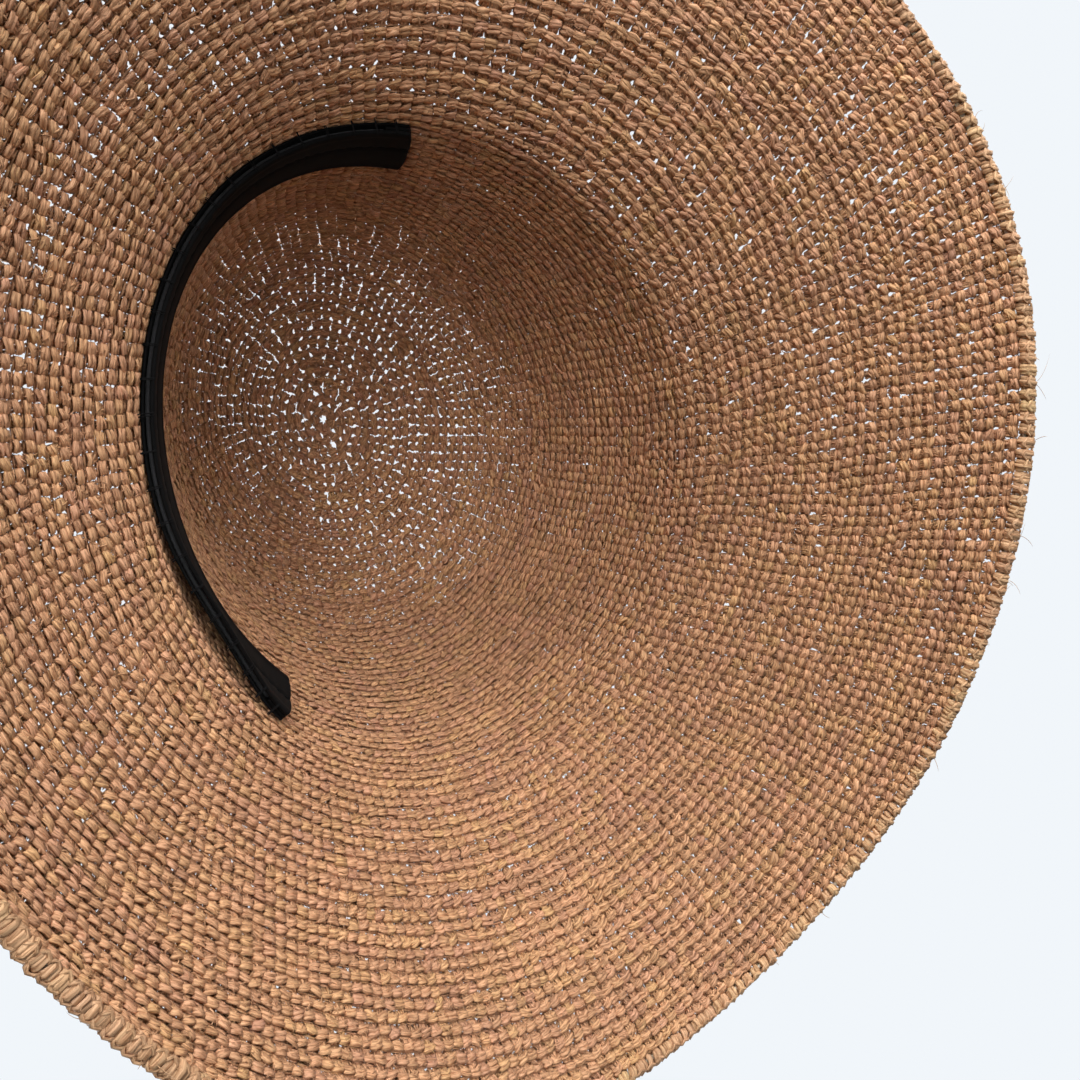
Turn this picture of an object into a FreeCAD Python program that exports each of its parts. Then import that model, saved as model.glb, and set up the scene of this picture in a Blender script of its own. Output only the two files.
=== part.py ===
"""Crocheted raffia sun hat with a folded fabric half sweatband.

Row frame: millimetres, +Z up through the crown, origin at the centre of the head opening,
-Y the front, where the sweatband sits.  Every wall of the hat is a zone of one flowing
surface.  A point of it is named by a turn round the hat and by a distance down from the
headline: negative up the crown, positive out along the brim.
"""
import FreeCAD, Part
import math
import os

# Head opening: an oval, turned a little, that dips and rises like a saddle.
HEAD_HALF_LONG = 101.0
HEAD_HALF_SHORT = 84.0
HEAD_OVAL_TURN = -38.0
HEAD_SADDLE = 10.0
HEAD_SADDLE_TURN = -101.0

# Crown: a wall that leans in, rounding over into a soft top.
CROWN_DEPTH = 117.0
CROWN_LEAN_X = 6.0
CROWN_LEAN_Y = 1.0
WALL_TAPER = 17.0
WALL_SHARE = 0.5
TOP_FULLNESS = 0.88

# Brim: its slope, in degrees below level, at the headline and at the edge.
# Each wave is (degrees, turn of its steepest place times its count), counted 1, 2, 3 round.
BRIM_WIDTH = 109.0
FLARE_LENGTH = 8.0
INNER_SLOPE = 38.0
INNER_WAVES = ((5.0, 167.0), (12.0, -73.0), (3.0, -158.0))
OUTER_SLOPE = 38.0
OUTER_WAVES = ((27.0, -177.0), (29.0, 126.0), (7.0, -162.0))

# Crochet: the height of one round and the thickness of the fabric.
ROUND_HEIGHT = 3.6
FABRIC = 2.6
TIP_ROUNDS = 20
INNER_BRIM_ROUNDS = 14
START_RING_RADIUS = 2.4
START_RING_YARN = 1.0
TIP_HOLE = 4.0

# The last round is worked thicker, over a stiffening line.
EDGE_ROUND_WIDTH = 4.4
EDGE_ROUND_HALF = 2.5
EDGE_LINE_RADIUS = 0.6
EDGE_CHANNEL_RADIUS = 0.75

# Sweatband: a folded tape over a thin pad, along the front half of the crown wall.
BAND_START = -161.5
BAND_END = -18.5
BAND_LOW = 0.5
BAND_HIGH = 26.5
BAND_WALL_GAP = 0.35
BAND_TAPE = 0.7
BAND_PAD = 1.1
BAND_FOLD_LENGTH = 9.0
BAND_HEM = 2.2
LAYER_GAP = 0.2
BOW_DEPTH = 4.0
BOW_TURN = -140.0
BOW_SPREAD = 16.0
THREAD_RADIUS = 0.25
THREAD_GAP = 0.3
SEAM_HEIGHT = 12.0
SEAM_STITCHES = 60
SEAM_STITCH_LENGTH = 2.4
TACKS = 26

# Resolution of the surfaces.
TURN_POLES = 48
BAND_TURN_POLES = 30
POLE_SPACING = 11.0
PROFILE_STEPS = 240
TUBE_POLES = 8
EDGE_LINE_LENGTHS = 4

MEAN_RADIUS = (HEAD_HALF_LONG + HEAD_HALF_SHORT) / 2.0


def vector(x, y, z):
    return FreeCAD.Vector(x, y, z)


def cosd(angle):
    return math.cos(math.radians(angle))


def sind(angle):
    return math.sin(math.radians(angle))


# ---------------------------------------------------------------- the hat's surface

def headline(turn):
    """A point of the head opening, where the crown wall becomes the brim."""
    along = HEAD_HALF_LONG * cosd(turn - HEAD_OVAL_TURN)
    across = HEAD_HALF_SHORT * sind(turn - HEAD_OVAL_TURN)
    x = along * cosd(HEAD_OVAL_TURN) - across * sind(HEAD_OVAL_TURN)
    y = along * sind(HEAD_OVAL_TURN) + across * cosd(HEAD_OVAL_TURN)
    return vector(x, y, HEAD_SADDLE * cosd(2.0 * turn - HEAD_SADDLE_TURN))


def crown_curve(share):
    """Crown profile as (share of the headline radius, share of the depth), 0 at the headline."""
    lean_in = sind(WALL_TAPER) / cosd(WALL_TAPER) * WALL_SHARE * CROWN_DEPTH / MEAN_RADIUS
    corners = ((1.0, 0.0), (1.0 - lean_in, WALL_SHARE), (TOP_FULLNESS, 1.0), (0.0, 1.0))
    rest = 1.0 - share
    weights = (rest ** 3, 3 * rest ** 2 * share, 3 * rest * share ** 2, share ** 3)
    radius = sum(w * c[0] for w, c in zip(weights, corners))
    height = sum(w * c[1] for w, c in zip(weights, corners))
    return radius, height


def measure_crown():
    """Running length of the mean crown profile, from the headline to the top."""
    lengths = [0.0]
    before = crown_curve(0.0)
    for step in range(1, PROFILE_STEPS + 1):
        now = crown_curve(step / PROFILE_STEPS)
        run = (now[0] - before[0]) * MEAN_RADIUS
        rise = (now[1] - before[1]) * CROWN_DEPTH
        lengths.append(lengths[-1] + math.hypot(run, rise))
        before = now
    return lengths


CROWN_LENGTHS = measure_crown()
CROWN_LENGTH = CROWN_LENGTHS[-1]


def crown_share(length):
    """The profile's parameter at a length up from the headline."""
    for step in range(1, PROFILE_STEPS + 1):
        if CROWN_LENGTHS[step] >= length:
            part = (length - CROWN_LENGTHS[step - 1]) / (CROWN_LENGTHS[step] - CROWN_LENGTHS[step - 1])
            return (step - 1 + part) / PROFILE_STEPS
    return 1.0


def crown_point(turn, length):
    radius, height = crown_curve(crown_share(length))
    rim = headline(turn)
    x = rim.x * radius + CROWN_LEAN_X * height
    y = rim.y * radius + CROWN_LEAN_Y * height
    return vector(x, y, rim.z * (1.0 - height) + CROWN_DEPTH * height)


def wave_sum(mean, waves, turn):
    return mean + sum(size * cosd(count * turn - peak) for count, (size, peak) in enumerate(waves, 1))


def brim_point(turn, distance):
    """Walk out from the headline along a slope that eases from the wall's to the brim's."""
    inner = wave_sum(INNER_SLOPE, INNER_WAVES, turn)
    outer = wave_sum(OUTER_SLOPE, OUTER_WAVES, turn)
    steps = 40
    step = distance / steps
    out = 0.0
    down = 0.0
    for index in range(steps):
        place = (index + 0.5) * step
        slope = inner + (outer - inner) * place / BRIM_WIDTH
        slope += (90.0 - WALL_TAPER - inner) * math.exp(-place / FLARE_LENGTH)
        out += step * cosd(slope)
        down += step * sind(slope)
    return headline(turn) + vector(out * cosd(turn), out * sind(turn), -down)


def hat_point(turn, distance):
    if distance < 0.0:
        return crown_point(turn, -distance)
    return brim_point(turn, distance)


def hat_frame(turn, distance):
    """Directions at a point: round the hat, down the meridian, and out of the fabric."""
    turn_step = 0.5
    length_step = 0.4
    lowest = min(max(distance, length_step - CROWN_LENGTH), BRIM_WIDTH - length_step)
    around = hat_point(turn + turn_step, lowest) - hat_point(turn - turn_step, lowest)
    down = hat_point(turn, lowest + length_step) - hat_point(turn, lowest - length_step)
    around.normalize()
    down.normalize()
    outward = down.cross(around)
    outward.normalize()
    return around, down, outward


def fabric_point(turn, distance, offset):
    """A point at an offset from the middle of the fabric, positive towards the outside."""
    outward = hat_frame(turn, distance)[2]
    return hat_point(turn, distance) + outward * offset


# ---------------------------------------------------------------- surfaces and solids

def open_knots(poles):
    """Knots and multiplicities of an open cubic with this many poles."""
    spans = poles - 3
    return [float(i) for i in range(spans + 1)], [4] + [1] * (spans - 1) + [4]


def open_stations(start, end, poles):
    """Places of an open cubic's poles that leave a straight line straight."""
    knots, mults = open_knots(poles)
    flat = [knot for knot, count in zip(knots, mults) for _ in range(count)]
    return [start + (end - start) * sum(flat[i + 1:i + 4]) / 3.0 / knots[-1] for i in range(poles)]


def axis_knots(poles, closed):
    if closed:
        return [float(i) for i in range(poles + 1)], [1] * (poles + 1)
    return open_knots(poles)


def cubic_surface(grid, closed_round, closed_along=False):
    """Cubic surface over grid[round][along]; two rows only make a ruled surface."""
    round_knots, round_mults = axis_knots(len(grid), closed_round)
    round_degree = 3
    if len(grid) == 2:
        round_knots, round_mults, round_degree = [0.0, 1.0], [2, 2], 1
    along_knots, along_mults = axis_knots(len(grid[0]), closed_along)
    along_degree = 3
    if len(grid[0]) == 2:
        along_knots, along_mults, along_degree = [0.0, 1.0], [2, 2], 1
    surface = Part.BSplineSurface()
    surface.buildFromPolesMultsKnots(grid, round_mults, along_mults, round_knots, along_knots,
                                     closed_round, closed_along, round_degree, along_degree)
    return surface


def sheet(grid, closed_round):
    return cubic_surface(grid, closed_round).toShape()


def closed_solid(faces):
    """Sew faces that share their borders into one solid with its faces outward."""
    shell = Part.makeShell(faces)
    if len(faces) > 1:
        shell.sewShape()
    solid = Part.makeSolid(shell)
    if solid.Volume < 0:
        solid.reverse()
    return solid


def solid_between(low, high, closed_round):
    """Solid between two grids of poles, closed by ruled faces round its border."""
    faces = [sheet(low, closed_round), sheet(high, closed_round)]
    for end in (0, -1):
        faces.append(sheet([[a[end], b[end]] for a, b in zip(low, high)], closed_round))
    if not closed_round:
        for end in (0, -1):
            faces.append(sheet([low[end], high[end]], False))
    return closed_solid(faces)


def full_turns():
    return [360.0 * i / TURN_POLES for i in range(TURN_POLES)]


def zone(start, end, half_thickness, poles=None):
    """Ring of fabric between two distances; half_thickness is a function of the distance."""
    count = poles or max(5, int(round((end - start) / POLE_SPACING)) + 3)
    places = open_stations(start, end, count)
    low = [[fabric_point(t, s, -half_thickness(s)) for s in places] for t in full_turns()]
    high = [[fabric_point(t, s, half_thickness(s)) for s in places] for t in full_turns()]
    return solid_between(low, high, True)


def plain_fabric(_distance):
    return FABRIC / 2.0


def tube_surface(distance, radius):
    """Closed tube inside the fabric, round the whole hat at one distance."""
    reach = radius * 1.11      # poles of a closed cubic with TUBE_POLES stand outside its circle
    grid = []
    for turn in full_turns():
        _around, down, outward = hat_frame(turn, distance)
        centre = hat_point(turn, distance)
        ring = []
        for index in range(TUBE_POLES):
            angle = 360.0 * index / TUBE_POLES
            ring.append(centre + down * (reach * cosd(angle)) + outward * (reach * sind(angle)))
        grid.append(ring)
    return cubic_surface(grid, True, True)


def tube_in_strips(tube, lengths, strips):
    """Solid of a closed tube, its face divided along and round so that it meshes evenly."""
    along, across = TURN_POLES / lengths, TUBE_POLES / strips
    faces = []
    for i in range(lengths):
        for j in range(strips):
            strip = tube.copy()
            strip.segment(along * i, along * (i + 1), across * j, across * (j + 1))
            faces.append(strip.toShape())
    return closed_solid(faces)


# ---------------------------------------------------------------- the hat's pieces

def crown_start_ring():
    """The loop that the first round is worked into."""
    centre = hat_point(0.0, -CROWN_LENGTH)
    return Part.makeTorus(START_RING_RADIUS, START_RING_YARN, centre, vector(0, 0, 1))


TIP_END = TIP_ROUNDS * ROUND_HEIGHT - CROWN_LENGTH
BRIM_SPLIT = INNER_BRIM_ROUNDS * ROUND_HEIGHT
EDGE_START = BRIM_WIDTH - EDGE_ROUND_WIDTH


def crown_tip():
    return zone(TIP_HOLE - CROWN_LENGTH, TIP_END, plain_fabric)


def crown_side():
    return zone(TIP_END, 0.0, plain_fabric)


def brim_inner():
    return zone(0.0, BRIM_SPLIT, plain_fabric)


def brim_outer():
    return zone(BRIM_SPLIT, EDGE_START, plain_fabric)


def edge_bulge(distance):
    """Half thickness over the last round: the fabric's at its root, rounded at its lip."""
    part = (distance - EDGE_START) / EDGE_ROUND_WIDTH
    swell = FABRIC / 2.0 + (EDGE_ROUND_HALF - FABRIC / 2.0) * min(1.0, 6.0 * part)
    return swell * math.sqrt(max(0.12, 1.0 - max(0.0, 2.0 * part - 1.0) ** 2))


EDGE_LINE_PLACE = BRIM_WIDTH - EDGE_ROUND_WIDTH * 0.5


def brim_edge_round():
    rope = zone(EDGE_START, BRIM_WIDTH, edge_bulge, 8)
    channel = closed_solid([tube_surface(EDGE_LINE_PLACE, EDGE_CHANNEL_RADIUS).toShape()])
    return rope.cut(channel)


def brim_edge_line():
    line = tube_surface(EDGE_LINE_PLACE, EDGE_LINE_RADIUS)
    return tube_in_strips(line, EDGE_LINE_LENGTHS, TUBE_POLES)


def band_offset(turn, height, depth):
    """Offset of a band layer; near one end the band's brim side bows off the wall."""
    bow = BOW_DEPTH * math.exp(-((turn - BOW_TURN) / BOW_SPREAD) ** 2)
    off_wall = bow * ((BAND_HIGH - height) / (BAND_HIGH - BAND_LOW)) ** 2
    return -(FABRIC / 2.0 + BAND_WALL_GAP + depth + off_wall)


def band_point(turn, height, depth):
    return fabric_point(turn, -height, band_offset(turn, height, depth))


def band_layer(near, far, start, end, low, high, turn_poles=BAND_TURN_POLES):
    """Layer of the sweatband between two depths off the wall."""
    turns = open_stations(start, end, turn_poles)
    heights = open_stations(low, high, 6)
    back = [[band_point(t, h, near) for h in heights] for t in turns]
    face = [[band_point(t, h, far) for h in heights] for t in turns]
    return solid_between(back, face, False)


FOLD_TURN = math.degrees(BAND_FOLD_LENGTH / MEAN_RADIUS)
PAD_BACK = BAND_TAPE + LAYER_GAP
PAD_FACE = PAD_BACK + BAND_PAD
FACE_BACK = PAD_FACE + LAYER_GAP
BAND_FACE = FACE_BACK + BAND_TAPE


def sweatband_backing():
    return band_layer(0.0, BAND_TAPE, BAND_START, BAND_END, BAND_LOW, BAND_HIGH)


def sweatband_face():
    return band_layer(FACE_BACK, BAND_FACE, BAND_START, BAND_END, BAND_LOW, BAND_HIGH)


def sweatband_pad():
    gap = 0.5
    start = BAND_START + FOLD_TURN + gap
    end = BAND_END - FOLD_TURN - gap
    return band_layer(PAD_BACK, PAD_FACE, start, end, BAND_LOW + BAND_HEM, BAND_HIGH - BAND_HEM)


def sweatband_end_folds():
    """The tape's ends, turned in between its two faces."""
    low = BAND_LOW + 0.3
    high = BAND_HIGH - 0.3
    first = band_layer(PAD_BACK, PAD_FACE, BAND_START, BAND_START + FOLD_TURN, low, high, 5)
    last = band_layer(PAD_BACK, PAD_FACE, BAND_END - FOLD_TURN, BAND_END, low, high, 5)
    return Part.makeCompound([first, last])


def thread(start, end):
    """One visible stitch of sewing thread, as a short round bar."""
    return Part.makeCylinder(THREAD_RADIUS, (end - start).Length, start, end - start)


def sweatband_topstitch():
    """A row of stitches along the middle of the band's face."""
    stitches = []
    depth = BAND_FACE + THREAD_RADIUS + THREAD_GAP
    for index in range(SEAM_STITCHES):
        turn = BAND_START + (BAND_END - BAND_START) * (index + 0.5) / SEAM_STITCHES
        around = hat_frame(turn, -SEAM_HEIGHT)[0]
        middle = band_point(turn, SEAM_HEIGHT, depth)
        half = around * (SEAM_STITCH_LENGTH / 2.0)
        stitches.append(thread(middle - half, middle + half))
    return Part.makeCompound(stitches)


def sweatband_tacks():
    """Hand stitches over the band's lower edge that hold it to the crown."""
    tacks = []
    height = BAND_LOW - THREAD_RADIUS - THREAD_GAP
    for index in range(TACKS):
        turn = BAND_START + (BAND_END - BAND_START) * (index + 0.5) / TACKS
        start = fabric_point(turn, -height, -(FABRIC / 2.0 + 2.0 * THREAD_GAP))
        tacks.append(thread(start, band_point(turn, height, BAND_FACE)))
    return Part.makeCompound(tacks)


PIECES = (crown_start_ring, crown_tip, crown_side, brim_inner, brim_outer, brim_edge_round,
          brim_edge_line, sweatband_backing, sweatband_pad, sweatband_face, sweatband_end_folds,
          sweatband_topstitch, sweatband_tacks)


def main():
    os.makedirs("parts", exist_ok=True)
    for make in PIECES:
        shape = make()
        shape.exportStep("parts/%s.step" % make.__name__)
        print("%-20s valid %s  solids %d  volume %.0f mm3"
              % (make.__name__, shape.isValid(), len(shape.Solids), shape.Volume))


main()
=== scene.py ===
"""Crocheted raffia sun hat: its looks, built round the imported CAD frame.

Metres, in the row frame. The crochet is modelled stitch by stitch: every stitch of every round
is a few short strands of yarn laid along one flowing surface, so the pinholes are real gaps.
A point of that surface is named by a turn round the hat, in degrees, and by a distance down
from the headline: negative up the crown, positive out along the brim.
"""
import math

import bpy
import numpy as np
from mathutils import Matrix, Vector


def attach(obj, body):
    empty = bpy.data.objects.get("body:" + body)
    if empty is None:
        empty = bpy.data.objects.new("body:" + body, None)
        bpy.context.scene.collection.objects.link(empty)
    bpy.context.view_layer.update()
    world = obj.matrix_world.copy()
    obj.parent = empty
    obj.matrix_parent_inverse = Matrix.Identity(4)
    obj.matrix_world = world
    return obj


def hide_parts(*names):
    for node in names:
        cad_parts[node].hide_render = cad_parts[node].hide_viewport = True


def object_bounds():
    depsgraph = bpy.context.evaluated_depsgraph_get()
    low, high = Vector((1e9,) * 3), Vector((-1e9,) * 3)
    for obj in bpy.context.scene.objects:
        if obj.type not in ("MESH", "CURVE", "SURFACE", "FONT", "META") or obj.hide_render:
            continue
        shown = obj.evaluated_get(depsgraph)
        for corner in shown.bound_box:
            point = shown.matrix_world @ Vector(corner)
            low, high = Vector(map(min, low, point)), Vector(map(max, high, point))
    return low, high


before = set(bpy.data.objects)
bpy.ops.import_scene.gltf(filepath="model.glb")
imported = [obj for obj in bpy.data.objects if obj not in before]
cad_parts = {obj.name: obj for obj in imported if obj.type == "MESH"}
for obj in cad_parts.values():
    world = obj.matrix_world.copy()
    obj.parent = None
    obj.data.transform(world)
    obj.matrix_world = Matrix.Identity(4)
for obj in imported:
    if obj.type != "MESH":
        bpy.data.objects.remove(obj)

cad_low, cad_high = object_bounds()
MM = 0.001

# ---------------------------------------------------------------- the hat's driving sizes
# The same shape as the part's own source gives the CAD solids, here in metres.

HEAD_HALF_LONG = 101.0 * MM
HEAD_HALF_SHORT = 84.0 * MM
HEAD_OVAL_TURN = -38.0
HEAD_SADDLE = 10.0 * MM
HEAD_SADDLE_TURN = -101.0
CROWN_DEPTH = 117.0 * MM
CROWN_LEAN = (6.0 * MM, 1.0 * MM)
WALL_TAPER = 17.0
WALL_SHARE = 0.5
TOP_FULLNESS = 0.88
BRIM_WIDTH = 109.0 * MM
FLARE_LENGTH = 8.0 * MM
INNER_SLOPE = 38.0
INNER_WAVES = ((5.0, 167.0), (12.0, -73.0), (3.0, -158.0))
OUTER_SLOPE = 38.0
OUTER_WAVES = ((27.0, -177.0), (29.0, 126.0), (7.0, -162.0))
MEAN_RADIUS = (HEAD_HALF_LONG + HEAD_HALF_SHORT) / 2.0

# Crochet gauge.
STITCH_WIDTH = 3.42 * MM
ROUNDS = 78
TIP_ROUNDS = 20
SIDE_ROUNDS = 28
INNER_BRIM_ROUNDS = 14
TIP_START = 1.6 * MM            # radius at which the first round begins
EDGE_ROUND_WIDTH = 4.4 * MM
COLUMN_DRIFT = -0.13            # each stitch sits this share of a stitch past its parent
MOST_STITCHES = 590             # aimed at for one piece, so that its STL file isn't thinned out

# Random draws: one seed for the hat, and a number for each part that isn't a numbered round.
SEED = 20
EDGE_DRAWS = 900
RING_DRAWS = 901
SEAM_DRAWS = 910
TACK_DRAWS = 911

# Sweatband.
BAND_START = -161.5
BAND_END = -18.5
BAND_LOW = 0.5 * MM
BAND_HIGH = 26.5 * MM
FABRIC = 2.6 * MM
BAND_WALL_GAP = 0.35 * MM
BAND_TAPE = 0.7 * MM
BAND_PAD = 1.1 * MM
LAYER_GAP = 0.2 * MM
BOW_DEPTH = 4.0 * MM
BOW_TURN = -140.0
BOW_SPREAD = 16.0


# ---------------------------------------------------------------- the hat's surface

def cosd(angle):
    return np.cos(np.radians(angle))


def sind(angle):
    return np.sin(np.radians(angle))


def unit(vectors):
    return vectors / np.maximum(np.linalg.norm(vectors, axis=-1, keepdims=True), 1e-12)


def vary(rng, count, spread):
    """One random difference for each of count things, as a column."""
    return spread * rng.standard_normal((count, 1))


def headline(turn):
    """Points of the head opening, where the crown wall becomes the brim."""
    along = HEAD_HALF_LONG * cosd(turn - HEAD_OVAL_TURN)
    across = HEAD_HALF_SHORT * sind(turn - HEAD_OVAL_TURN)
    x = along * cosd(HEAD_OVAL_TURN) - across * sind(HEAD_OVAL_TURN)
    y = along * sind(HEAD_OVAL_TURN) + across * cosd(HEAD_OVAL_TURN)
    return np.stack([x, y, HEAD_SADDLE * cosd(2.0 * turn - HEAD_SADDLE_TURN)], -1)


def crown_curve(share):
    """Crown profile as (share of the headline radius, share of the depth)."""
    lean_in = math.tan(math.radians(WALL_TAPER)) * WALL_SHARE * CROWN_DEPTH / MEAN_RADIUS
    corners = np.array(((1.0, 0.0), (1.0 - lean_in, WALL_SHARE), (TOP_FULLNESS, 1.0), (0.0, 1.0)))
    rest = 1.0 - share
    weights = np.stack([rest ** 3, 3 * rest ** 2 * share, 3 * rest * share ** 2, share ** 3], -1)
    return weights @ corners


PROFILE_SHARES = np.linspace(0.0, 1.0, 241)
PROFILE_STEPS = np.diff(crown_curve(PROFILE_SHARES), axis=0) * (MEAN_RADIUS, CROWN_DEPTH)
PROFILE_LENGTHS = np.concatenate([[0.0], np.cumsum(np.linalg.norm(PROFILE_STEPS, axis=1))])
CROWN_LENGTH = PROFILE_LENGTHS[-1]


def crown_point(turn, length):
    profile = crown_curve(np.interp(length, PROFILE_LENGTHS, PROFILE_SHARES))
    radius, height = profile[..., 0], profile[..., 1]
    rim = headline(turn)
    return np.stack([rim[..., 0] * radius + CROWN_LEAN[0] * height,
                     rim[..., 1] * radius + CROWN_LEAN[1] * height,
                     rim[..., 2] * (1.0 - height) + CROWN_DEPTH * height], -1)


def wave_sum(mean, waves, turn):
    return mean + sum(size * cosd(count * turn - peak) for count, (size, peak) in enumerate(waves, 1))


def brim_point(turn, distance):
    """Walk out from the headline along a slope that eases from the wall's to the brim's."""
    steps = 40
    inner = wave_sum(INNER_SLOPE, INNER_WAVES, turn)[..., None]
    outer = wave_sum(OUTER_SLOPE, OUTER_WAVES, turn)[..., None]
    place = distance[..., None] * (np.arange(steps) + 0.5) / steps
    slope = inner + (outer - inner) * place / BRIM_WIDTH
    slope = slope + (90.0 - WALL_TAPER - inner) * np.exp(-place / FLARE_LENGTH)
    out = cosd(slope).mean(-1) * distance
    down = sind(slope).mean(-1) * distance
    return headline(turn) + np.stack([out * cosd(turn), out * sind(turn), -down], -1)


class Surface:
    TURNS = 720
    STEP = 1.0 * MM

    def __init__(self):
        self.first = -CROWN_LENGTH + 0.5 * MM
        self.rows = int((BRIM_WIDTH + 6.0 * MM - self.first) / self.STEP)
        turns = np.arange(self.TURNS) * 360.0 / self.TURNS
        distances = self.first + np.arange(self.rows) * self.STEP
        turn, distance = np.meshgrid(turns, distances, indexing="ij")
        crown = crown_point(turn, np.maximum(-distance, 0.0))
        brim = brim_point(turn, np.maximum(distance, 0.0))
        points = np.where((distance < 0.0)[..., None], crown, brim)
        around = unit(np.roll(points, -1, 0) - np.roll(points, 1, 0))
        down = unit(np.gradient(points, axis=1))
        self.table = np.concatenate([points, unit(np.cross(down, around))], -1)

    def look_up(self, turn, distance):
        """Points of the middle surface and the directions out of the fabric."""
        turn, distance = np.broadcast_arrays(turn, distance)
        x = np.mod(turn, 360.0) * self.TURNS / 360.0
        y = np.clip((distance - self.first) / self.STEP, 0.0, self.rows - 1.001)
        i, j = x.astype(int), y.astype(int)
        fx, fy = (x - i)[..., None], (y - j)[..., None]
        i = i % self.TURNS
        after = (i + 1) % self.TURNS
        low = self.table[i, j] * (1 - fx) + self.table[after, j] * fx
        high = self.table[i, j + 1] * (1 - fx) + self.table[after, j + 1] * fx
        found = low * (1 - fy) + high * fy
        return found[..., :3], unit(found[..., 3:])

    def place(self, turn, distance, offset):
        """Points at an offset from the middle of the fabric, positive towards the outside."""
        points, outward = self.look_up(turn, distance)
        return points + outward * np.asarray(offset)[..., None]

    def ring_lengths(self, distance):
        """Running length round the hat at one distance, at every half degree."""
        turns = np.arange(self.TURNS + 1) * 360.0 / self.TURNS
        points = self.look_up(turns, np.full(len(turns), distance))[0]
        steps = np.linalg.norm(np.diff(points, axis=0), axis=1)
        return turns, np.concatenate([[0.0], np.cumsum(steps)])


surface = Surface()


# ---------------------------------------------------------------- where the stitches are

def round_limits(rng):
    """Distances at which the rounds meet, from the start ring to the edge round."""
    heights = 1.0 + 0.05 * rng.standard_normal(ROUNDS)
    span = CROWN_LENGTH - TIP_START + BRIM_WIDTH - EDGE_ROUND_WIDTH
    heights *= span / heights.sum()
    return -CROWN_LENGTH + TIP_START + np.concatenate([[0.0], np.cumsum(heights)])


def relax(targets, total):
    """Evens the gaps between stitches round a ring while each stays near its target."""
    count = len(targets)
    pull = 0.12                 # towards the target, against 1 towards each neighbour
    matrix = np.zeros((count, count))
    index = np.arange(count)
    matrix[index, index] = 2.0 + pull
    matrix[index, (index + 1) % count] -= 1.0
    matrix[index, (index - 1) % count] -= 1.0
    right = pull * targets
    right[0] -= total
    right[-1] += total
    return np.linalg.solve(matrix, right)


def work_into(parents, distance, count, rng):
    """Arc places of a round's stitches on the round before, with increases where it is loosest."""
    turns, lengths = surface.ring_lengths(distance)
    total = lengths[-1]
    base = np.floor(parents / 360.0)
    arcs = np.interp(parents - 360.0 * base, turns, lengths) + total * base
    arcs = arcs + COLUMN_DRIFT * total / count
    gaps = (np.roll(arcs, -1) - np.roll(arcs, 1)) % total
    loose = gaps / gaps.mean() + 0.3 * rng.standard_normal(len(arcs))
    extra = max(0, count - len(arcs))
    doubled = np.zeros(len(arcs), bool)
    doubled[np.argsort(-loose)[:extra]] = True
    half = 0.25 * total / count
    targets = np.sort(np.concatenate([arcs[~doubled], arcs[doubled] - half, arcs[doubled] + half]))
    owners = np.repeat(np.arange(len(arcs)), np.where(doubled, 2, 1))
    places = relax(targets, total)
    laps = np.floor(places / total)
    found = np.interp(places - total * laps, lengths, turns) + 360.0 * laps
    lean = (places - arcs[owners]) / (total / count) + COLUMN_DRIFT
    return found, lean, total / len(found)


def lay_out_rounds(rng):
    """One record for each round: its limits, and each stitch's turn, lean and width."""
    limits = round_limits(rng)
    first_count = 7
    stitches = np.arange(first_count) * 360.0 / first_count
    rounds = []
    for index in range(ROUNDS + 1):
        low = limits[index]
        high = limits[index + 1] if index < ROUNDS else BRIM_WIDTH
        middle = (low + high) / 2.0
        total = surface.ring_lengths(middle)[1][-1]
        count = max(len(stitches), int(round(total / STITCH_WIDTH)))
        stitches, lean, width = work_into(stitches, middle, count, rng)
        spacing = (np.roll(stitches, -1) - np.roll(stitches, 1)) % 360.0 / 2.0
        rounds.append({"index": index, "low": low, "high": high, "turn": stitches,
                       "lean": lean, "spacing": spacing, "width": width})
    return rounds


# ---------------------------------------------------------------- how open the fabric is

def bump(value, centre, spread):
    return np.exp(-((value - centre) / spread) ** 2)


def turn_bump(turn, centre, spread):
    away = (turn - centre + 180.0) % 360.0 - 180.0
    return np.exp(-(away / spread) ** 2)


def smooth_step(value, start, end):
    share = np.clip((value - start) / (end - start), 0.0, 1.0)
    return share * share * (3.0 - 2.0 * share)


def patch(turn, distance, turns, distances):
    """1 inside a patch of the hat, falling softly to 0 outside it; each is a centre and a reach."""
    return turn_bump(turn, *turns) * bump(distance, *distances)


def openness(turn, distance, tension, rng):
    """How far the gap after each stitch stands open right through the fabric, 0 to 1."""
    phases = rng.uniform(0.0, 360.0, 4)
    arcs = sum(cosd(count * turn + phase) for count, phase in zip((1, 2, 3, 5), phases)) / 2.0
    tip = smooth_step(-distance, 52.0 * MM, 105.0 * MM)
    place = 0.02 + 0.90 * tip
    place = place + 0.38 * patch(turn, distance, (42.0, 38.0), (72.0 * MM, 48.0 * MM))
    place = place + 0.52 * patch(turn, distance, (270.0, 70.0), (35.0 * MM, 38.0 * MM))
    place = place + 0.36 * patch(turn, distance, (220.0, 24.0), (62.0 * MM, 32.0 * MM))
    place = place - 0.50 * patch(turn, distance, (112.0, 36.0), (30.0 * MM, 110.0 * MM))
    swing = (0.26 - 0.06 * tip) * (tension + arcs)
    return np.clip(place + swing + 0.22 * rng.standard_normal(len(turn)), 0.0, 1.0)


def dimples(turn, distance, rng):
    """Gaps that open on the inside face only, as the fabric bends over its far side."""
    place = 0.62 + 0.38 * patch(turn, distance, (108.0, 36.0), (30.0 * MM, 90.0 * MM))
    return np.clip(place + 0.18 * rng.standard_normal(len(turn)), 0.0, 1.0)


# ---------------------------------------------------------------- strands of yarn

ATLAS = 112                     # each strand has its own cell of the texture, in a square of these


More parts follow.
